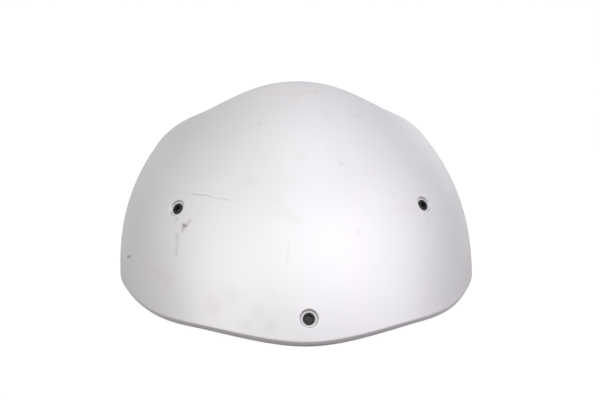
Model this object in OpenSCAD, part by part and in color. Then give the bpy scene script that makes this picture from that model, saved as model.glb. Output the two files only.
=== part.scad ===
// Domed headlight fly screen for a motorcycle: one moulded shell with three
// dished mounting holes, each holding a rubber grommet. Sizes in millimetres.
// It is drawn as a dome whose crest runs level along Y, from the nose to the
// rear edge, and is then pitched nose down to rest on its lower edge.

/* [Dome] */
// Width across the sides at the widest station
overall_w = 350; // [280:1:420]
// Height of the crest above the side edges, before the screen is pitched
crest_h = 141; // [113:1:169]
// Station of the greatest width, from the crest's highest point
widest_y = 20; // [0:1:40]
// How much narrower than the widest station the nose is, on each side
nose_taper = 21; // [10:1:35]
// How much narrower than the widest station the rear edge is, on each side
rear_taper = 35; // [20:1:50]
// Drop of the crest from its highest point to the nose
nose_drop = 19; // [12:1:24]
// Drop of the crest from its highest point to the rear edge
rear_drop = 18; // [12:1:24]

/* [Rim] */
// Distance of the nose ahead of the crest's highest point
nose_reach = 129; // [106:1:155]
// Distance of the rear edge behind the crest's highest point
rear_reach = 138; // [113:1:164]
// Fall of the lower edge behind the nose, 16 degrees down the arch
nose_fall_16 = 8; // [4:1:12]
// Fall of the lower edge behind the nose, 34 degrees down the arch
nose_fall_34 = 26; // [20:1:32]
// Fall of the lower edge behind the nose, 54 degrees down the arch
nose_fall_54 = 49; // [42:1:58]
// Fall of the lower edge behind the nose, 74 degrees down the arch
nose_fall_74 = 97; // [88:1:106]
// Station of the front corners on the side edges
front_corner_y = 4; // [-6:1:14]
// Fall of the rear edge ahead of its middle, 12 degrees down the arch
rear_fall_12 = 2; // [0:1:5]
// Fall of the rear edge ahead of its middle, 24 degrees down the arch
rear_fall_24 = 9; // [5:1:13]
// Fall of the rear edge in the notch beside the crown, 36 degrees down the arch
rear_fall_36 = 19; // [14:1:23]
// Fall of the rear edge on the shoulder, 50 degrees down the arch
rear_fall_50 = 14; // [10:1:20]
// Fall of the rear edge ahead of its middle, 64 degrees down the arch
rear_fall_64 = 17; // [12:1:22]
// Fall of the rear edge ahead of its middle, 78 degrees down the arch
rear_fall_78 = 12; // [7:1:17]
// Station of the rear corners on the side edges
rear_corner_y = 134; // [126:1:146]

/* [Sheet] */
// Wall thickness of the moulding
wall = 3; // [2.4:0.1:4]
// Developed width of the strip that every edge is turned along
bend_strip = 4.2; // [3.6:0.1:6]
// Turn of the lower edge's return lip
lip_turn = 70; // [50:1:80]
// Straight depth of the return lip
lip_depth = 5; // [3:0.5:8]
// Distance ahead of the front corners over which the return lip fades out
lip_fade = 30; // [20:1:45]
// Straight run of the plain edges
plain_edge = 1.2; // [1:0.1:3]

/* [Crown] */
// Rise of the raised crown over the rear edge
crown_rise = 6; // [3:0.5:7]
// Half width of the raised crown at the rear edge
crown_half_w = 69; // [60:1:78]
// Half width of the raised crown where it starts to rise
crown_front_w = 35; // [30:1:50]
// Station where the crown starts to rise
crown_start_y = 15; // [0:1:40]

/* [Mounting holes] */
// Angle down the arch of the two side holes
side_hole_angle = 41; // [33:1:49]
// Station of the two side holes
side_hole_y = 14; // [0:1:30]
// Station of the front hole, from the nose
front_hole_inset = 20; // [18:1:26]
// Depth of a recess
dish_depth = 2.6; // [2:0.1:3.2]
// Width of a recess's sloping wall, seen square on
dish_slope_w = 2; // [1.5:0.1:3]
// Flat floor left clear round a grommet's flange
floor_margin = 1.6; // [1:0.1:3]
// Thickness of a recess's floor
floor_t = 2.8; // [2:0.1:4]
// How far the boss behind a recess reaches past the floor, on each side
boss_margin = 4.5; // [3:0.1:6]
// Radius of the boss's back edge
boss_round = 0.6; // [0.3:0.1:1.2]

/* [Grommets] */
// Diameter of the bore that takes the screw
bore_d = 8; // [6.4:0.1:9.6]
// Thickness of the rubber between the bore and the hole
neck_wall = 1.3; // [1:0.1:2]
// How far each flange laps over the edge of its hole
flange_lap = 1; // [0.8:0.1:2]
// Thickness of each flange
flange_t = 1.4; // [1.1:0.1:1.7]
// Radial clearance between the neck and its hole
neck_clearance = 0.1; // [0.05:0.05:0.3]
// Radius of the flange's outer corners
flange_round = 0.5; // [0.3:0.05:0.55]

/* [Hidden] */
$fn = 96;
corner_fn = 24;
paint = "silver";
rubber = [0.12, 0.12, 0.13];
// Points along each span of the rim and rings between the middle and the rim
span_steps = 5;
ring_count = 14;
bend_steps = 3;
edge_steps = 4;
// Power of the fall of the crown's flanks: higher is steeper
crown_flank = 2.5;
// The side edges reach this far below the springing of the arch
skirt = bend_strip + plain_edge + wall / 2;
crest_rise = crest_h - skirt;
front_hole_y = front_hole_inset - nose_reach;
neck_d = bore_d + 2 * neck_wall;
hole_d = neck_d + 2 * neck_clearance;
flange_d = hole_d + 2 * flange_lap;
floor_d = flange_d + 2 * floor_margin;
boss_r = floor_d / 2 + boss_margin;
boss_h = dish_depth + floor_t - wall / 2;
// Points of the lower and the rear edge, as an angle down the arch and a fall
lower_edge = [[16, nose_fall_16], [34, nose_fall_34], [54, nose_fall_54], [74, nose_fall_74]];
rear_edge = [[78, rear_fall_78], [64, rear_fall_64], [50, rear_fall_50], [36, rear_fall_36],
    [24, rear_fall_24], [12, rear_fall_12]];
side_edge_y = rear_corner_y - front_corner_y;

// Smooth rise and fall through a peak and one value on each side of it
function profile(y, peak_y, peak, y1, v1, y2, v2) =
    let (t1 = y1 - peak_y, t2 = y2 - peak_y, t = y - peak_y,
         d1 = (peak - v1) / pow(t1, 2), d2 = (peak - v2) / pow(t2, 2),
         b = (d2 - d1) / (t2 - t1))
    peak - (d1 - b * t1) * pow(t, 2) - b * pow(t, 3);

function half_w(y) =
    let (half = overall_w / 2)
    profile(y, widest_y, half, -nose_reach, half - nose_taper, rear_reach, half - rear_taper);

function crest(y) =
    profile(y, 0, crest_rise, -nose_reach, crest_rise - nose_drop,
        rear_reach, crest_rise - rear_drop);

function ease(t) = let (c = min(1, max(0, t))) c * c * (3 - 2 * c);

// Raised crown, which widens and rises towards the rear edge; its flanks fall off smoothly
function crown(x, y) =
    let (back = min(1, max(0, (y - crown_start_y) / (rear_reach - crown_start_y))),
         w = crown_front_w + (crown_half_w - crown_front_w) * back)
    crown_rise * ease(back) * exp(-pow(abs(x) / w, crown_flank));

// Every cross-section is half an ellipse: a is the angle down the arch from the crest
function skin(a, y) =
    let (x = half_w(y) * sin(a))
    [x, y, skirt + crest(y) * cos(a) + crown(x, y)];

function unit(v) = v / norm(v);

function skin_normal(a, y, h = 0.02) =
    unit(cross(skin(a + h, y) - skin(a - h, y), skin(a, y + h) - skin(a, y - h)));

// Half of the rim's control polygon, from the nose round the right side to the rear
rim_half = concat(
    [[0, -nose_reach]],
    [for (p = lower_edge) [p.x, p.y - nose_reach]],
    [for (share = [0, 1 / 4, 3 / 4, 1]) [90, front_corner_y + share * side_edge_y]],
    [for (p = rear_edge) [p.x, rear_reach - p.y]],
    [[0, rear_reach]]);
rim_control = concat(rim_half,
    [for (i = [len(rim_half) - 2 : -1 : 1]) [-rim_half[i].x, rim_half[i].y]]);

// Uniform cubic B-spline round a closed control polygon
function spline_loop(pts, steps) =
    let (n = len(pts))
    [for (i = [0 : n - 1]) for (k = [0 : steps - 1])
        let (t = k / steps,
             w = [pow(1 - t, 3), 3 * pow(t, 3) - 6 * t * t + 4,
                  -3 * pow(t, 3) + 3 * t * t + 3 * t + 1, pow(t, 3)])
        (w * [for (j = [0 : 3]) pts[(i + j + n - 1) % n]]) / 6];

rim = spline_loop(rim_control, span_steps);
rim_n = len(rim);
middle = [0, (rear_reach - nose_reach) / 2];

function wrap(i) = (i + rim_n) % rim_n;

// Direction in the surface, square to the rim and away from the middle
function rim_outward(i) =
    let (n = skin_normal(rim[i].x, rim[i].y),
         ahead = rim[wrap(i + 1)], behind = rim[wrap(i - 1)],
         along = unit(skin(ahead.x, ahead.y) - skin(behind.x, behind.y)))
    unit(cross(along, n));

// Share of the full return lip at a rim point: one along the lower edge, none behind the corners
function lip_share(i) = ease((front_corner_y - rim[i].y) / lip_fade);

// Points of the bent strip as [outward, up, heading], from the rim outwards
function bend_path(turn, k = 0, at = [0, 0]) =
    let (step = bend_strip / bend_steps, heading = turn * (k + 0.5) / bend_steps)
    k > bend_steps ? []
    : concat([[at.x, at.y, turn * k / bend_steps]],
        bend_path(turn, k + 1, at + step * [cos(heading), -sin(heading)]));

// Closed edge profile, outer face first, round the end and back along the inner face
function edge_profile(turn, straight) =
    let (bend = bend_path(turn), last = bend[bend_steps],
         run = [cos(turn), -sin(turn)], face = [sin(turn), cos(turn)],
         end = [last.x, last.y] + straight * run, centre = end - face * wall / 2)
    concat(
        [for (k = [1 : bend_steps]) [bend[k].x, bend[k].y]],
        [for (k = [0 : edge_steps]) let (q = 180 * k / edge_steps)
            centre + wall / 2 * (cos(q) * face + sin(q) * run)],
        [for (k = [bend_steps : -1 : 1])
            [bend[k].x, bend[k].y] - wall * [sin(bend[k][2]), cos(bend[k][2])]]);

function edge_points(i) =
    let (share = lip_share(i), n = skin_normal(rim[i].x, rim[i].y), o = rim_outward(i),
         base = skin(rim[i].x, rim[i].y))
    [for (p = edge_profile(lip_turn * share, plain_edge + (lip_depth - plain_edge) * share))
        base + p.x * o + p.y * n];

function ring_point(i, share, depth) =
    let (q = middle + (rim[i] - middle) * share)
    skin(q.x, q.y) - depth * skin_normal(q.x, q.y);

edge_rows = [for (i = [0 : rim_n - 1]) edge_points(i)];

// The screen rests on the end of its nose and on the two front corners
nose_end = edge_rows[0];
corner_ends = [for (i = [0 : rim_n / 2])
    if (rim[i].y > middle.y - nose_reach / 2) each edge_rows[i]];

function height(p, pitch) = p.y * sin(pitch) + p.z * cos(pitch);

function lowest(pts, pitch) = min([for (p = pts) height(p, pitch)]);

// Pitch at which the nose and the corners touch the floor together, by halving
function resting(low, high, steps = 30) =
    let (mid = (low + high) / 2)
    steps == 0 ? mid
    : lowest(nose_end, mid) > lowest(corner_ends, mid) ? resting(mid, high, steps - 1)
    : resting(low, mid, steps - 1);

rest_pitch = resting(10, 70);
rest_lift = -lowest(nose_end, rest_pitch);
rest_y = [for (row = edge_rows) for (p = row) p.y * cos(rest_pitch) - p.z * sin(rest_pitch)];

// Pitches a piece to rest, with the origin under the middle of the whole screen
module at_rest() {
    translate([0, -(min(rest_y) + max(rest_y)) / 2, rest_lift])
        rotate([rest_pitch, 0, 0]) children();
}

module shell() {
    rows = concat(
        [for (r = [1 : ring_count]) [for (i = [0 : rim_n - 1]) ring_point(i, r / ring_count, 0)]],
        [for (k = [0 : len(edge_rows[0]) - 1]) [for (i = [0 : rim_n - 1]) edge_rows[i][k]]],
        [for (r = [ring_count : -1 : 1])
            [for (i = [0 : rim_n - 1]) ring_point(i, r / ring_count, wall)]]);
    points = concat([for (row = rows) for (p = row) p],
        [skin(middle.x, middle.y), skin(middle.x, middle.y) - wall * skin_normal(middle.x, middle.y)]);
    last = len(rows) - 1;
    top = len(points) - 2;
    faces = concat(
        [for (r = [0 : last - 1]) for (i = [0 : rim_n - 1])
            let (j = wrap(i + 1), a = r * rim_n, b = a + rim_n,
                 crossed = (r < last / 2) != (i < rim_n / 2))
            each crossed
                ? [[a + i, a + j, b + i], [a + j, b + j, b + i]]
                : [[a + i, a + j, b + j], [a + i, b + j, b + i]]],
        [for (i = [0 : rim_n - 1]) [top, wrap(i + 1), i]],
        [for (i = [0 : rim_n - 1]) [top + 1, last * rim_n + i, last * rim_n + wrap(i + 1)]]);
    polyhedron(points, faces);
}

// Stands its children square on the outer surface, with Z along the outward normal
module on_skin(a, y) {
    n = skin_normal(a, y);
    tilt = acos(n.z);
    turn = atan2(n.y, n.x);
    translate(skin(a, y)) rotate([0, tilt, turn]) children();
}

module at_holes() {
    for (a = [-side_hole_angle, side_hole_angle]) on_skin(a, side_hole_y) children();
    on_skin(0, front_hole_y) children();
}

module screen_panel() {
    color(paint) difference() {
        union() {
            shell();
            at_holes() boss();
        }
        at_holes() {
            translate([0, 0, -dish_depth])
                cylinder(d1 = floor_d, d2 = floor_d + 4 * dish_slope_w, h = 2 * dish_depth);
            translate([0, 0, -dish_depth - floor_t - 1])
                cylinder(d = hole_d, h = floor_t + 2);
        }
    }
}

// Round boss behind a recess, whose back edge is rounded and whose front is inside the sheet
module boss() {
    translate([0, 0, -dish_depth - floor_t]) rotate_extrude() {
        square([boss_r - boss_round, boss_h]);
        translate([0, boss_round]) square([boss_r, boss_h - boss_round]);
        translate([boss_r - boss_round, boss_round]) circle(boss_round, $fn = corner_fn);
    }
}

module grommet() {
    inner_face = -dish_depth - floor_t;
    color(rubber) rotate_extrude() translate([bore_d / 2, 0]) {
        translate([0, inner_face]) square([(neck_d - bore_d) / 2, floor_t]);
        translate([0, -dish_depth]) flange_half();
        translate([0, inner_face]) mirror([0, 1]) flange_half();
    }
}

// Section of one flange, from the bore outwards, with its outer corner rounded
module flange_half() {
    w = (flange_d - bore_d) / 2;
    square([w - flange_round, flange_t]);
    square([w, flange_t - flange_round]);
    translate([w - flange_round, flange_t - flange_round]) circle(flange_round, $fn = corner_fn);
}

module grommet_left() on_skin(-side_hole_angle, side_hole_y) grommet();
module grommet_right() on_skin(side_hole_angle, side_hole_y) grommet();
module grommet_front() on_skin(0, front_hole_y) grommet();

at_rest() screen_panel();
at_rest() grommet_left();
at_rest() grommet_right();
at_rest() grommet_front();
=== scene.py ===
import math

import bmesh
import bpy
import numpy as np
from mathutils import Matrix, Vector


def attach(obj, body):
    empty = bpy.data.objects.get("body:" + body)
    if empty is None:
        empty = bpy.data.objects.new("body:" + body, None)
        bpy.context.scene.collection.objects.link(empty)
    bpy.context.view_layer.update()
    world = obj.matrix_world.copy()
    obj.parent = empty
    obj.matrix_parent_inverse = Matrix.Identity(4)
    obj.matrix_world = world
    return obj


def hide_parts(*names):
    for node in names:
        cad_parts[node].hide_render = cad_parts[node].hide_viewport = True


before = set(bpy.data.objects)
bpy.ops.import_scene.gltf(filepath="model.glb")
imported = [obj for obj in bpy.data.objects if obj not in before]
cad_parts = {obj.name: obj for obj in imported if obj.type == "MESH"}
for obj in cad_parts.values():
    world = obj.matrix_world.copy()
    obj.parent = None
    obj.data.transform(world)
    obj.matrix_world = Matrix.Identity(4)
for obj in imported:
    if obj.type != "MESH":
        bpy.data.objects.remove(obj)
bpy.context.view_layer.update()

# Screen shell: one moulded dome about 3 mm thick that covers a headlight. It is worked out
# level, with its crest along Y, and is then pitched nose down to rest on its lower edge.
# That edge turns in to a return lip, shallower to its corners; the other edges are plain.
HALF_WIDTH = 0.175
WIDEST_Y = 0.020
NOSE_HALF_WIDTH = 0.154
REAR_HALF_WIDTH = 0.140
NOSE_REACH = 0.129
REAR_REACH = 0.138
SKIRT = 0.0069
CREST_RISE = 0.141 - SKIRT
NOSE_DROP = 0.019
REAR_DROP = 0.018
CROWN_RISE = 0.006
CROWN_HALF_WIDTH = 0.069
CROWN_FRONT_WIDTH = 0.035
CROWN_START_Y = 0.015
CROWN_FLANK = 2.5
WALL = 0.003
FRONT_CORNER_Y = 0.004
REAR_CORNER_Y = 0.134
EDGE_CORNER = 0.0024
BEND_R = 0.0013
INNER_BEND_R = 0.0006
LIP_TURN = math.radians(70)
LIP_DEPTH = 0.0074
LIP_FADE = 0.014
SIDE_LIP_TURN = math.radians(40)
SIDE_LIP_DEPTH = 0.0042
# Angles down the arch between which the front lip eases into the side lip
SIDE_LIP_ANGLES = (math.radians(35), math.radians(60))
PLAIN_EDGE = 0.0030
# Turn and shift that set the nose and both lower side corners on the floor
REST_PITCH = math.radians(40.2576)
REST_SHIFT = Vector((0, 0.040228, -0.003533))
# Points of the lower and the rear edge, as degrees down the arch and metres of fall
LOWER_EDGE = ((16, 0.008), (34, 0.026), (54, 0.049), (74, 0.097))
REAR_EDGE = ((78, 0.012), (64, 0.017), (50, 0.014), (36, 0.019), (24, 0.009), (12, 0.002))
# Mesh steps: between two points of the rim, over the sheet, round the bend and the end
SPAN_STEPS = 10
RINGS = 48
BEND_STEPS = 10
END_STEPS = 10
# Rows past the bend over which the overspray of the inner side fades in
FADE_ROWS = 6
# Small step that finds the slope of the dome, in radians and metres
PROBE = 1e-5
WELD = 1e-7


def through_peak(y, peak_y, peak, y1, v1, y2, v2):
    """Smooth rise and fall through a peak and one value on each side of it."""
    t1, t2, t = y1 - peak_y, y2 - peak_y, y - peak_y
    d1, d2 = (peak - v1) / t1**2, (peak - v2) / t2**2
    b = (d2 - d1) / (t2 - t1)
    return peak - (d1 - b * t1) * t**2 - b * t**3


def ease(t):
    t = np.clip(t, 0, 1)
    return t * t * (3 - 2 * t)


def dome(angle, y):
    """Points of the outer face, at angles down the arch from the crest and stations along it."""
    x = np.sin(angle) * through_peak(
        y, WIDEST_Y, HALF_WIDTH, -NOSE_REACH, NOSE_HALF_WIDTH, REAR_REACH, REAR_HALF_WIDTH)
    crest = through_peak(
        y, 0, CREST_RISE, -NOSE_REACH, CREST_RISE - NOSE_DROP, REAR_REACH, CREST_RISE - REAR_DROP)
    back = np.clip((y - CROWN_START_Y) / (REAR_REACH - CROWN_START_Y), 0, 1)
    flank = np.abs(x) / (CROWN_FRONT_WIDTH + (CROWN_HALF_WIDTH - CROWN_FRONT_WIDTH) * back)
    crown = CROWN_RISE * ease(back) * np.exp(-(flank**CROWN_FLANK))
    return np.stack(np.broadcast_arrays(x, y, SKIRT + crest * np.cos(angle) + crown), -1)


def unit(v):
    return v / np.linalg.norm(v, axis=-1, keepdims=True)


def dome_normal(angle, y):
    across = dome(angle + PROBE, y) - dome(angle - PROBE, y)
    along = dome(angle, y + PROBE) - dome(angle, y - PROBE)
    return unit(np.cross(across, along))


def dome_face(angle, y, depth):
    """Points of the sheet at a depth under its outer face."""
    return dome(angle, y) - depth * dome_normal(angle, y)


def rim_line():
    """Angles and stations of the closed line that the edge strip starts from."""
    half = [(0, -NOSE_REACH)] + [(a, fall - NOSE_REACH) for a, fall in LOWER_EDGE]
    side = REAR_CORNER_Y - FRONT_CORNER_Y
    half += [(90, FRONT_CORNER_Y + share * side) for share in (0, 1 / 4, 3 / 4, 1)]
    half += [(a, REAR_REACH - fall) for a, fall in REAR_EDGE] + [(0, REAR_REACH)]
    control = np.array(half + [(-a, y) for a, y in half[-2:0:-1]])
    control[:, 0] = np.radians(control[:, 0])
    t = np.arange(SPAN_STEPS)[:, None] / SPAN_STEPS
    spans = []
    for i in range(len(control)):
        p = [control[(i + j - 1) % len(control)] for j in range(4)]
        spans.append(((1 - t) ** 3 * p[0] + (3 * t**3 - 6 * t * t + 4) * p[1]
                      + (-3 * t**3 + 3 * t * t + 3 * t + 1) * p[2] + t**3 * p[3]) / 6)
    return np.concatenate(spans)


def edge_section(turn, run):
    """Section of the edge strip as [outward, up]: outer face, round end and inner face."""
    half = math.tan(turn / 2)
    outer, inner = [[(corner - radius * half + radius * math.sin(q), radius * math.cos(q) - radius - depth)
                     for q in np.linspace(0, turn, BEND_STEPS + 1)]
                    for corner, radius, depth in ((EDGE_CORNER, BEND_R, 0),
                                                  (EDGE_CORNER - WALL * half, INNER_BEND_R, WALL))]
    way = np.array((math.cos(turn), -math.sin(turn)))
    face = np.array((math.sin(turn), math.cos(turn)))
    centre = np.array((EDGE_CORNER, 0)) + run * way - face * WALL / 2
    end = [centre + WALL / 2 * (math.cos(q) * face + math.sin(q) * way)
           for q in np.linspace(0, math.pi, END_STEPS + 1)]
    return outer + end + inner[::-1]


def shell_sections():
    """For each rim point, the line from the middle over the outer face and back under it."""
    rim = rim_line()
    middle = np.array((0, (REAR_REACH - NOSE_REACH) / 2))
    normal = dome_normal(rim[:, 0], rim[:, 1])
    points = dome(rim[:, 0], rim[:, 1])
    along = unit(np.roll(points, -1, 0) - np.roll(points, 1, 0))
    outward = unit(np.cross(along, normal))
    lip = ease((FRONT_CORNER_Y - rim[:, 1]) / LIP_FADE)
    first, last = SIDE_LIP_ANGLES
    side = ease((abs(rim[:, 0]) - first) / (last - first))
    turn = lip * (LIP_TURN + side * (SIDE_LIP_TURN - LIP_TURN))
    run = PLAIN_EDGE + lip * (LIP_DEPTH + side * (SIDE_LIP_DEPTH - LIP_DEPTH) - PLAIN_EDGE)
    strip = []
    for i in range(len(rim)):
        section = edge_section(turn[i], run[i])
        strip.append([points[i] + o * outward[i] + u * normal[i] for o, u in section])
    shares = np.linspace(0, 1, RINGS + 1)
    spread = middle + (rim - middle)[:, None, :] * shares[None, :, None]
    top = dome_face(spread[..., 0], spread[..., 1], 0)
    under = dome_face(spread[..., 0], spread[..., 1], WALL)[:, ::-1]
    return np.concatenate((top, np.array(strip), under), axis=1)


sections = shell_sections()
columns, rows = sections.shape[0], sections.shape[1] - 1
shell = bmesh.new()
inside = shell.verts.layers.float.new("inside")
bmesh.ops.create_grid(shell, x_segments=columns, y_segments=rows, size=0.5)
first_under = rows - RINGS
for v in shell.verts:
    i = round((v.co.x + 0.5) * columns) % columns
    j = round((v.co.y + 0.5) * rows)
    v.co = Vector(sections[i, j])
    v[inside] = min(1, max(0, (j - first_under + BEND_STEPS) / (BEND_STEPS + FADE_ROWS)))
bmesh.ops.remove_doubles(shell, verts=shell.verts, dist=WELD)

# Mounting holes: three round recesses, each with a flat floor, a hole for a rubber grommet
# and a round boss behind it, all moulded with the shell. Each is placed by its degrees
# down the arch and its station: left, right and front.
HOLES = ((-41, 0.014), (41, 0.014), (0, -0.109))
DISH_R = 0.0082
FLOOR_R = 0.0071
DISH_DEPTH = 0.0026
FLOOR_T = 0.0028
BOSS_R = 0.0125
HOLE_R = 0.0045
COLLAR_R = 0.0110
BOSS_FOOT_R = 0.0150
HOLE_SEGMENTS = 72
# Rings that only shape the mesh, on the collar, the floor and the boss's back
COLLAR_RING_R = 0.0099
FLOOR_RING_R = 0.0056
BACK_RINGS_R = (0.008, 0.010)
# Radii of the rounded edges and corners
DISH_EDGE_ROUND = 0.0006
FLOOR_CORNER_ROUND = 0.0006
FLOOR_CORNER_INSET = 0.0004
HOLE_EDGE_ROUND = 0.0002
BOSS_EDGE_ROUND = 0.0006
BOSS_FOOT_ROUND = 0.0013
# Depth between the two faces, gap that is cut round a hole, and reach of the cut and the fill
MID_DEPTH = 0.0021
CUT_CLEARANCE = 0.0014
CUT_REACH = 0.02
FILL_REACH = 0.01
# Flat ring round the back of a hole, and how far into a hole the outer paint reaches
BACK_FLAT = 0.001
PAINT_REACH = 0.0005
# Slack in telling what lies under the floor, and rounds that find the sheet beside a hole
LEVEL_SLACK = 1e-6
OFFSET_ROUNDS = 6


def arc(cx, cz, radius, start, stop, steps):
    """Points of an arc in a section, from one angle in degrees to another."""
    return [(cx + radius * math.cos(math.radians(q)), cz + radius * math.sin(math.radians(q)))
            for q in np.linspace(start, stop, steps + 1)]


def hole_section():
    """Section of a recess and its boss, from the outer face to the inner one."""
    back = -DISH_DEPTH - FLOOR_T
    wall = math.degrees(math.atan2(DISH_DEPTH, DISH_R - FLOOR_R))
    touch = DISH_EDGE_ROUND * math.tan(math.radians(wall / 2))
    corner, edge, boss, foot = FLOOR_CORNER_ROUND, HOLE_EDGE_ROUND, BOSS_EDGE_ROUND, BOSS_FOOT_ROUND
    points = [(COLLAR_R, 0), (COLLAR_RING_R, 0)]
    points += arc(DISH_R + touch, -DISH_EDGE_ROUND, DISH_EDGE_ROUND, 90, 90 + wall, 6)
    points += arc(FLOOR_R - FLOOR_CORNER_INSET, -DISH_DEPTH + corner, corner, wall - 90, -90, 4)
    points += [(FLOOR_RING_R, -DISH_DEPTH)]
    points += arc(HOLE_R + edge, -DISH_DEPTH - edge, edge, 90, 180, 3)
    points += arc(HOLE_R + edge, back + edge, edge, 180, 270, 3)
    points += [(r, back) for r in BACK_RINGS_R]
    points += arc(BOSS_R - boss, back + boss, boss, -90, 0, 5)
    points += arc(BOSS_R + foot, -WALL - foot, foot, 180, 90, 6)
    return points + [(BOSS_FOOT_R, -WALL)]


def dome_offset(place, start, x, y, depth):
    """How far the sheet lies over or under a hole's own plane, beside the hole."""
    angle, station = np.full(len(x), start[0]), np.full(len(x), start[1])
    turn, origin = place[:3, :3], place[:3, 3]
    for _ in range(OFFSET_ROUNDS):
        here = (dome_face(angle, station, depth) - origin) @ turn
        by_angle = ((dome_face(angle + PROBE, station, depth) - origin) @ turn - here) / PROBE
        by_station = ((dome_face(angle, station + PROBE, depth) - origin) @ turn - here) / PROBE
        size = by_angle[:, 0] * by_station[:, 1] - by_angle[:, 1] * by_station[:, 0]
        ex, ey = x - here[:, 0], y - here[:, 1]
        angle = angle + (ex * by_station[:, 1] - ey * by_station[:, 0]) / size
        station = station + (by_angle[:, 0] * ey - by_angle[:, 1] * ex) / size
    return ((dome_face(angle, station, depth) - origin) @ turn)[:, 2] + depth


def hole_place(start):
    """Axes and origin of a hole that stands square on the dome, as columns."""
    normal = dome_normal(*start)
    across = unit(np.cross((0, 1, 0), normal))
    return np.stack((across, np.cross(normal, across), normal, dome(*start)), 1)


def press_hole(start):
    """Cuts the plain sheet away round one hole and sets in its recess and boss."""
    place = hole_place(start)
    turn, origin = place[:, :3], place[:, 3]
    local = (np.array([v.co for v in shell.verts]) - origin) @ turn
    reach = np.hypot(local[:, 0], local[:, 1])
    limit = np.where(local[:, 2] > -MID_DEPTH, COLLAR_R, BOSS_FOOT_R) + CUT_CLEARANCE
    gone = (abs(local[:, 2]) < CUT_REACH) & (reach < limit)
    bmesh.ops.delete(shell, geom=[v for v, cut in zip(shell.verts, gone) if cut], context="VERTS")

    plain = set(shell.verts)
    line = [shell.verts.new((r, 0, z)) for r, z in hole_section()]
    edges = [shell.edges.new(pair) for pair in zip(line, line[1:])]
    bmesh.ops.spin(shell, geom=line + edges, cent=(0, 0, 0), axis=(0, 0, 1), angle=math.tau,
                   steps=HOLE_SEGMENTS, use_merge=True)
    recess = [v for v in shell.verts if v not in plain]
    x, y, z = np.array([v.co for v in recess], float).T
    r = np.hypot(x, y)
    back = -DISH_DEPTH - FLOOR_T
    below_floor = z < -DISH_DEPTH - LEVEL_SLACK
    outer = np.clip((r - FLOOR_R) / (DISH_R - FLOOR_R), 0, 1) * ~below_floor
    inner = ease((z - back) / (-WALL - back)) * (r > HOLE_R + BACK_FLAT) * below_floor
    z = z + outer * dome_offset(place, start, x, y, 0) + inner * dome_offset(place, start, x, y, WALL)
    for v, co, depth in zip(recess, np.stack((x, y, z), 1) @ turn.T + origin, z):
        v.co = Vector(co)
        v[inside] = float(depth < -DISH_DEPTH - PAINT_REACH)

    # The gap between each ring and the cut edge of the sheet is filled in the sheet's own line
    for low, high in ((-MID_DEPTH, FILL_REACH), (-FILL_REACH, -MID_DEPTH)):
        rim = [e for e in shell.edges if e.is_boundary and all(
            low < (np.array(v.co) - origin) @ turn[:, 2] < high for v in e.verts)]
        bmesh.ops.triangle_fill(shell, use_beauty=True, use_dissolve=False, edges=rim,
                                normal=Vector(turn[:, 2]))


for degrees, station in HOLES:
    press_hole((math.radians(degrees), station))
bmesh.ops.recalc_face_normals(shell, faces=shell.faces)
for f in shell.faces:
    f.smooth = True
bmesh.ops.rotate(shell, verts=shell.verts, cent=(0, 0, 0), matrix=Matrix.Rotation(REST_PITCH, 3, "X"))
bmesh.ops.translate(shell, verts=shell.verts, vec=REST_SHIFT)
shell_mesh = bpy.data.meshes.new("screen_shell")
shell.to_mesh(shell_mesh)
shell.free()
screen_shell = bpy.data.objects.new("screen_shell", shell_mesh)
bpy.context.scene.collection.objects.link(screen_shell)
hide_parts("screen_panel")
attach(screen_shell, "root")


# Paint: silver metallic base under a satin lacquer, with fine flake, a faint orange peel,
# and the scuffs, stains and specks of a used screen. The inner side has only overspray.
class Signal:
    """A socket of a material's nodes, on which sums add their Math nodes."""

    def __init__(self, material, socket):
        self.material, self.socket = material, socket

    def maths(self, operation, first, *others, clamp=False):
        return node(self.material, "ShaderNodeMath", {"operation": operation, "use_clamp": clamp},
                    dict(enumerate((first, *others))))

    def __add__(self, other):
        return self.maths("ADD", self, other)

    __radd__ = __add__

    def __sub__(self, other):
        return self.maths("SUBTRACT", self, other)

    def __rsub__(self, other):
        return self.maths("SUBTRACT", other, self)

    def __mul__(self, other):
        return self.maths("MULTIPLY", self, other)

    def __truediv__(self, other):
        return self.maths("DIVIDE", self, other)

    def clamped(self):
        return self.maths("ADD", self, 0, clamp=True)

    def over(self, other):
        return self.maths("MAXIMUM", self, other)


def node(material, kind, settings=None, inputs=None, output=0):
    """Adds one node: its settings first, then the values or links of its sockets."""
    made = material.node_tree.nodes.new(kind)
    for name, value in (settings or {}).items():
        setattr(made, name, value)
    for name, value in (inputs or {}).items():
        socket = made.inputs[name]
        if isinstance(value, Signal):
            material.node_tree.links.new(value.socket, socket)
        else:
            socket.default_value = value
    return Signal(material, made.outputs[output])


def new_material(name):
    material = bpy.data.materials.new(name)
    material.use_nodes = True
    material.node_tree.nodes.clear()
    return material


def finish_material(material, shader):
    out = material.node_tree.nodes.new("ShaderNodeOutputMaterial")
    material.node_tree.links.new(shader.socket, out.inputs["Surface"])


def noise(material, at, scale, detail, roughness=0.5):
    return node(material, "ShaderNodeTexNoise", {}, {"Vector": at, "Scale": scale, "Detail": detail,
                                                    "Roughness": roughness})


def mix_colour(material, share, first, second):
    """Mix of two colours, whose sockets a Mix node tells apart by number only."""
    return node(material, "ShaderNodeMix", {"data_type": "RGBA"}, {0: share, 6: first, 7: second},
                output=2)


def vector_maths(material, operation, first, second, output="Vector"):
    return node(material, "ShaderNodeVectorMath", {"operation": operation}, {0: first, 1: second},
                output=output)


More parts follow.
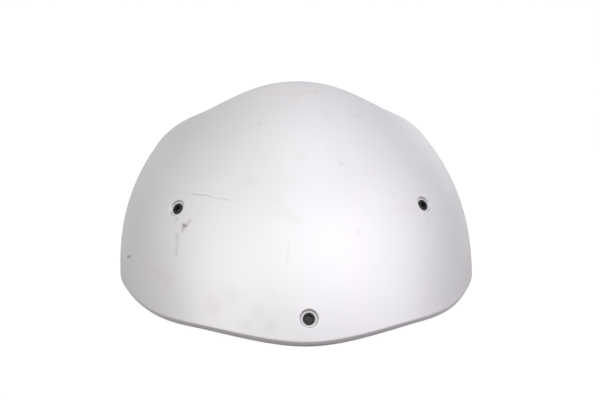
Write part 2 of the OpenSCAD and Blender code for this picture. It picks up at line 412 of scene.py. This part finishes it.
SILVER_SHADE = (0.57, 0.56, 0.58, 1)
SILVER_BRIGHT = (0.63, 0.62, 0.635, 1)
DUST_COLOUR = (0.30, 0.27, 0.25, 1)
RED_COLOUR = (0.52, 0.40, 0.36, 1)
CHIP_COLOUR = (0.10, 0.10, 0.11, 1)
BROWN_COLOUR = (0.16, 0.12, 0.07, 1)
BARE_COLOUR = (0.10, 0.10, 0.105, 1)
OVERSPRAY_COLOUR = (0.40, 0.40, 0.41, 1)
# Scale of each texture, and how far a worn mark's edge wanders from its true line
FLAKE_SCALE = 1500
PEEL_SCALE = 260
CLOUD_SCALE = 14
GRAIN_SCALE = 420
WANDER_SCALE = 210
WANDER = 0.006
silver = new_material("satin_silver_paint")
at = node(silver, "ShaderNodeTexCoord", output="Object")
inner_side = node(silver, "ShaderNodeAttribute", {"attribute_name": "inside"}, output="Fac")
flake = noise(silver, at, FLAKE_SCALE, 1)
peel = noise(silver, at, PEEL_SCALE, 1)
cloud = noise(silver, at, CLOUD_SCALE, 3)
grain = noise(silver, at, GRAIN_SCALE, 3, 0.7)
wander = node(silver, "ShaderNodeTexNoise", {},
              {"Vector": at, "Scale": WANDER_SCALE, "Detail": 3}, output="Color")
loose = node(silver, "ShaderNodeVectorMath", {"operation": "MULTIPLY_ADD"}, {
    0: wander, 1: (WANDER,) * 3, 2: vector_maths(silver, "SUBTRACT", at, (WANDER / 2,) * 3)})


def on_screen(degrees, station):
    """Point of the finished screen's outer face, from an angle down the arch and a station in mm."""
    return Matrix.Rotation(REST_PITCH, 3, "X") @ Vector(
        dome(math.radians(degrees), station / 1000)) + REST_SHIFT


def speck(where, place, radius, strength):
    """Mark that fades from the middle of a spot to its radius in mm."""
    apart = vector_maths(silver, "DISTANCE", where, on_screen(*place), output="Value")
    return (1 - apart / (radius / 1000)).clamped() * strength


def streak(where, places, width, strength):
    """Mark that fades from a line through places to its half width in mm."""
    marks = []
    for start, end in zip(places, places[1:]):
        foot, run = on_screen(*start), on_screen(*end) - on_screen(*start)
        arm = vector_maths(silver, "SUBTRACT", where, foot)
        along = vector_maths(silver, "DOT_PRODUCT", arm, run, output="Value")
        share = (along / run.length_squared).clamped()
        nearest = node(silver, "ShaderNodeVectorMath", {"operation": "SCALE"}, {0: run, "Scale": share})
        apart = vector_maths(silver, "DISTANCE", arm, nearest, output="Value")
        marks.append((1 - apart / (width / 1000)).clamped() * strength)
    return strongest(marks)


def strongest(marks):
    whole = marks[0]
    for mark in marks[1:]:
        whole = whole.over(mark)
    return whole


# Marks as degrees down the arch and a station in mm, each with its radius in mm
SPECKS = (((-13, 90), 2.5), ((13, 84), 2.0), ((8, 56), 2.0), ((8, 46), 1.2), ((12, 41), 3.5),
          ((-46, 68), 2.8), ((-42, 78), 2.2), ((-42, 52), 2.4), ((29, 15), 2.5), ((41, 32), 2.0),
          ((42, -6), 2.6), ((16, -30), 3.2), ((12, -49), 2.0), ((-19, -84), 1.6), ((-10, -86), 1.6),
          ((-33, 2), 1.8), ((-51, 16), 2.2))
SMUDGES = (((0, 48), 7), ((-16, 26), 9), ((-8, 2), 5), ((-7, -5), 5), ((-5, -12), 6), ((-8, -13), 6),
           ((-4, -18), 6), ((-2, -21), 5), ((9, 98), 8), ((38, 57), 5), ((-24, -83), 12),
           ((-16, -100), 11), ((-20, -110), 9), ((-12, -113), 10))
RED_SCUFFS = (((-55, -33), 6), ((-52.5, -39), 8), ((-50.5, -46), 8), ((-47, -56), 9), ((-30, -91), 9),
              ((-31, -84), 7))
SPECK_STRENGTH = 0.16
SMUDGE_STRENGTH = 0.14
SCUFF_STRENGTH = 0.26
specks = [speck(loose, place, radius, SPECK_STRENGTH) for place, radius in SPECKS]
left_chips = [streak(at, ((-70, -6.4), (-67.4, -9.3)), 2.4, 0.55), speck(loose, (-41, 1), 3.2, 0.3)]
long_scratch = [streak(at, ((-35, 24), (-33, 21), (-30, 18)), 0.65, 0.5),
                streak(at, ((-30, 18), (-27, 13), (-24.5, 10), (-22, 7)), 0.6, 0.34),
                streak(at, ((-41, 31), (-38, 28), (-35, 24)), 0.5, 0.14),
                streak(at, ((-22, 7), (-19, 1), (-17, -3)), 0.5, 0.14)]
faint_rubs = [streak(loose, ((-41, -15), (-41.5, -24), (-42, -34)), 2.6, 0.2),
              streak(at, ((-5, -41), (-5.5, -52), (-6, -62)), 0.8, 0.12),
              streak(loose, ((19, 102), (23, 104)), 3.0, 0.08)]
grey_marks = strongest(specks + left_chips + long_scratch + faint_rubs)
smudges = [speck(loose, place, radius, SMUDGE_STRENGTH) for place, radius in SMUDGES]
dusty = strongest(smudges) * (grain * 2.4 - 0.5)
side_scuffs = [speck(loose, place, radius, SCUFF_STRENGTH) for place, radius in RED_SCUFFS]
crown_scuff = [streak(loose, ((-10, 127), (-5, 127), (0, 127), (7, 127.5)), 4.5, 0.36),
               streak(loose, ((-1, 130), (-1, 120)), 6.0, 0.4), speck(loose, (7, 128), 4.5, 0.6)]
right_rub = [streak(loose, ((31, 1), (34, 2), (37, 3)), 6.0, 0.14)]
ruddy = strongest(side_scuffs + crown_scuff + right_rub) * (grain * 2 - 0.2)
brown = strongest([streak(loose, ((-36, -4), (-38, -8)), 3.2, 0.3), speck(loose, (-38, -8), 4.2, 0.9),
                   streak(loose, ((-38, -8), (-39, -11)), 2.2, 0.5), speck(loose, (-39, -12), 2.2, 0.6)])

tone = mix_colour(silver, cloud, SILVER_SHADE, SILVER_BRIGHT)
tone = mix_colour(silver, dusty.clamped(), tone, DUST_COLOUR)
tone = mix_colour(silver, ruddy.clamped(), tone, RED_COLOUR)
tone = mix_colour(silver, grey_marks, tone, CHIP_COLOUR)
tone = mix_colour(silver, brown.clamped(), tone, BROWN_COLOUR)
overspray = (cloud * 1.6 - 0.35 + (flake - 0.5) * 0.8).clamped()
bare = mix_colour(silver, overspray, BARE_COLOUR, OVERSPRAY_COLOUR)
tone = mix_colour(silver, inner_side, tone, bare)
height = flake * 0.35 + peel * 0.65 - grey_marks * 0.5
bump = node(silver, "ShaderNodeBump", {}, {"Strength": 0.12, "Distance": 0.0002, "Height": height})
dull = (dusty.over(ruddy) + brown).clamped()
paint = node(silver, "ShaderNodeBsdfPrincipled", {}, {
    "Base Color": tone, "Metallic": 0.7 - dull * 0.4 - inner_side * 0.45,
    "Roughness": 0.6 + cloud * 0.04 + dull * 0.15 + inner_side * 0.06, "Normal": bump,
    "Coat Weight": 0.2, "Coat Roughness": 0.2})
finish_material(silver, paint)
shell_mesh.materials.append(silver)

# Grommets: three one-piece black rubber rings, each with a flange on both sides of the
# recess's floor, pushed into the hole by hand. Their bores take the fixing screws.
BORE_R = 0.003
NECK_R = 0.0044
FLANGE_R = 0.0053
FLANGE_T = 0.0014
FLANGE_ROUND = 0.0005
BORE_EDGE_ROUND = 0.00015
# Small break between a flange's rim and the face it lies on
RIM_BREAK = 0.0001
RUBBER_DARK = (0.008, 0.008, 0.009, 1)
RUBBER_DUSTY = (0.026, 0.025, 0.024, 1)
DUST_SCALE = 420
rubber = new_material("black_rubber")
spot = node(rubber, "ShaderNodeTexCoord", output="Object")
dust = noise(rubber, spot, DUST_SCALE, 3)
finish_material(rubber, node(rubber, "ShaderNodeBsdfPrincipled", {}, {
    "Base Color": mix_colour(rubber, dust, RUBBER_DARK, RUBBER_DUSTY),
    "Roughness": 0.6, "Specular IOR Level": 0.25}))


def grommet_section():
    """Closed section of a grommet, from the bore's outer end round both flanges."""
    outer_face, inner_face = -DISH_DEPTH, -DISH_DEPTH - FLOOR_T
    top, foot = outer_face + FLANGE_T, inner_face - FLANGE_T
    r, soft, fine = FLANGE_R, FLANGE_ROUND, BORE_EDGE_ROUND
    points = arc(BORE_R + fine, top - fine, fine, 180, 90, 3)
    points += arc(r - soft, top - soft, soft, 90, 0, 5)
    points += [(r, outer_face + RIM_BREAK), (r - RIM_BREAK, outer_face), (NECK_R, outer_face)]
    points += [(NECK_R, inner_face), (r - RIM_BREAK, inner_face), (r, inner_face - RIM_BREAK)]
    points += arc(r - soft, foot + soft, soft, 0, -90, 5)
    return points + arc(BORE_R + fine, foot + fine, fine, 270, 180, 3)


for name, (degrees, station) in zip(("left", "right", "front"), HOLES):
    ring = bmesh.new()
    line = [ring.verts.new((r, 0, z)) for r, z in grommet_section()]
    edges = [ring.edges.new(pair) for pair in zip(line, line[1:] + line[:1])]
    bmesh.ops.spin(ring, geom=line + edges, cent=(0, 0, 0), axis=(0, 0, 1), angle=math.tau,
                   steps=HOLE_SEGMENTS, use_merge=True)
    bmesh.ops.recalc_face_normals(ring, faces=ring.faces)
    for f in ring.faces:
        f.smooth = True
    place = np.eye(4)
    place[:3] = hole_place((math.radians(degrees), station))
    bmesh.ops.transform(ring, verts=ring.verts, matrix=Matrix.Translation(REST_SHIFT)
                        @ Matrix.Rotation(REST_PITCH, 4, "X") @ Matrix(place.tolist()))
    mesh = bpy.data.meshes.new("rubber_grommet_" + name)
    ring.to_mesh(mesh)
    ring.free()
    mesh.materials.append(rubber)
    grommet = bpy.data.objects.new(mesh.name, mesh)
    bpy.context.scene.collection.objects.link(grommet)
    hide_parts("grommet_" + name)
    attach(grommet, "root")

# Floor: a plain white sheet that glows round the screen, so that the camera sees it white.
# Under the dome the glow is cut out in an ellipse of painted shade, where the sheet is a grey matt
# that also takes the screen's real shade; the painted shade fades softly to the rear, further than a real
# shadow.
# The paint mirrors a weaker glow, from outside the screen's outline only, so reflections near it show
# painted shade.
FLOOR_HALF = 6
# Middle, half width and reaches of the ellipses of painted shade on the floor; the back one is drawn out
# to the rear like a cast shadow
SHADE_MIDDLE = (0, 0.03, 0)
SHADE_HALF_WIDTH = 0.175
FRONT_REACH = 0.1615
BACK_REACH = 0.4
# Start and length of each fade, as shares of the ellipse it runs out of
FRONT_FADE = (0.84, 0.085)
BACK_FADE = (0.5, 0.425)
MIRROR_FADE = (1, 0.7)
# Distance behind the middle over which the front fade gives way to the back one
FADE_CHANGE = 0.08
SEEN_GLOW = 0.9
MIRRORED_GLOW = 0.42
GLOW = 1.08
# Matt greys of the floor, both painted shade: the camera sees the pale one under the dome and through the
# bores, and the screen's bounce light and reflections get the darker shaded one, which darkens its lower
# lip
SHADED_COLOUR = (0.48, 0.46, 0.455, 1)
PALE_COLOUR = (0.55, 0.55, 0.56, 1)
floor_mesh = bpy.data.meshes.new("floor")
sheet = bmesh.new()
bmesh.ops.create_grid(sheet, x_segments=1, y_segments=1, size=FLOOR_HALF)
sheet.to_mesh(floor_mesh)
sheet.free()
floor = bpy.data.objects.new("floor", floor_mesh)
bpy.context.scene.collection.objects.link(floor)
white = new_material("white_floor")
ground = node(white, "ShaderNodeTexCoord", output="Object")
apart = vector_maths(white, "SUBTRACT", ground, SHADE_MIDDLE)


def ellipse(x_radius, y_radius):
    """Distance from the middle of the painted shade, as a share of an ellipse's radius."""
    scaled = vector_maths(white, "MULTIPLY", apart, (1 / x_radius, 1 / y_radius, 0))
    return vector_maths(white, "LENGTH", scaled, (0, 0, 0), output="Value")


def faded(distance, start, length):
    return ((distance - start) / length).clamped()


# Painted shade: the camera sees no glow inside the front ellipse, with a soft tail of it out to the rear
front_ellipse = ellipse(SHADE_HALF_WIDTH, FRONT_REACH)
ahead = faded(front_ellipse, *FRONT_FADE)
behind = faded(ellipse(SHADE_HALF_WIDTH, BACK_REACH), *BACK_FADE)
backward = vector_maths(white, "DOT_PRODUCT", apart, (0, 1, 0), output="Value")
back_share = (backward / FADE_CHANGE).clamped()
camera_ray = node(white, "ShaderNodeLightPath", output="Is Camera Ray")
seen = camera_ray * (ahead + back_share * (behind - ahead)) * SEEN_GLOW
# Reflections see the glow only beyond the front ellipse, so the floor near the screen is mirrored without
# it: painted shade, as on the screen's lower lip
glossy_ray = node(white, "ShaderNodeLightPath", output="Is Glossy Ray")
mirrored = glossy_ray * faded(front_ellipse, *MIRROR_FADE) * MIRRORED_GLOW
shaded = node(white, "ShaderNodeBsdfDiffuse", {}, {"Color": SHADED_COLOUR})
pale = node(white, "ShaderNodeBsdfDiffuse", {}, {"Color": PALE_COLOUR})
# Lit and shaded copies of one matt floor: pale to the camera, painted shade for the light the screen gets
# from it
matt = node(white, "ShaderNodeMixShader", {}, {0: camera_ray, 1: shaded, 2: pale})
glow = node(white, "ShaderNodeEmission", {}, {"Color": (1, 1, 1, 1), "Strength": GLOW})
finish_material(white, node(white, "ShaderNodeMixShader", {}, {0: seen.over(mirrored), 1: matt, 2: glow}))
floor_mesh.materials.append(white)

# Light: a white room with three large soft lamps in front, above and to either side,
# and a weak one low behind each side, which lights the screen's rims.
ROOM_STRENGTH = 0.495
LAMP_AIM = Vector((0, 0, 0.1))
world = bpy.data.worlds.new("white_room")
bpy.context.scene.world = world
world.use_nodes = True
world.node_tree.nodes.clear()
room_rays = node(world, "ShaderNodeLightPath", output="Is Camera Ray")
room = node(world, "ShaderNodeBackground", {}, {"Color": (1, 1, 1, 1), "Strength": ROOM_STRENGTH})
backdrop = node(world, "ShaderNodeBackground", {}, {"Color": (1, 1, 1, 1), "Strength": 1.0})
room_mix = node(world, "ShaderNodeMixShader", {}, {0: room_rays, 1: room, 2: backdrop})
room_out = world.node_tree.nodes.new("ShaderNodeOutputWorld")
world.node_tree.links.new(room_mix.socket, room_out.inputs["Surface"])


def soft_lamp(name, place, size, power, colour):
    lamp = bpy.data.lights.new(name, "AREA")
    lamp.shape, lamp.size, lamp.energy, lamp.color = "DISK", size, power, colour
    stand = bpy.data.objects.new(name, lamp)
    stand.location = place
    stand.rotation_mode = "QUATERNION"
    stand.rotation_quaternion = (LAMP_AIM - Vector(place)).to_track_quat("-Z", "Y")
    bpy.context.scene.collection.objects.link(stand)


soft_lamp("top_lamp", (0.16, -0.65, 1.44), 1.2, 10.8, (1, 0.995, 0.985))
soft_lamp("right_lamp", (1.1, -0.5, 1.1), 1.4, 11.4, (0.94, 0.912, 1))
soft_lamp("left_lamp", (-1.0, -0.65, 1.05), 1.3, 10.1, (1, 0.99, 0.97))
soft_lamp("right_rim_lamp", (0.75, 1.0, 0.35), 0.7, 1.3, (0.98, 1, 0.96))
soft_lamp("left_rim_lamp", (-0.75, 1.0, 0.35), 0.7, 0.4, (0.98, 1, 0.94))

# Camera: a long lens about a metre in front of the screen, above it and slightly to its
# left. Place and turn were fitted to the outline and the three holes.
CAMERA_PLACE = (-0.06409, -0.9470, 0.40498)
CAMERA_LENS = 63.85
camera = bpy.data.cameras.new("camera")
camera.sensor_width = 36
camera.lens = CAMERA_LENS
viewpoint = bpy.data.objects.new("camera", camera)
right = Vector((0.99784, -0.06531, 0.00666))
up = Vector((0.01443, 0.31712, 0.94827))
back = right.cross(up)
viewpoint.matrix_world = Matrix.Translation(CAMERA_PLACE) @ Matrix(
    (right, up, back)).transposed().to_4x4()
bpy.context.scene.collection.objects.link(viewpoint)
bpy.context.scene.camera = viewpoint
bpy.context.scene.view_settings.view_transform = "Standard"

bpy.context.view_layer.update()
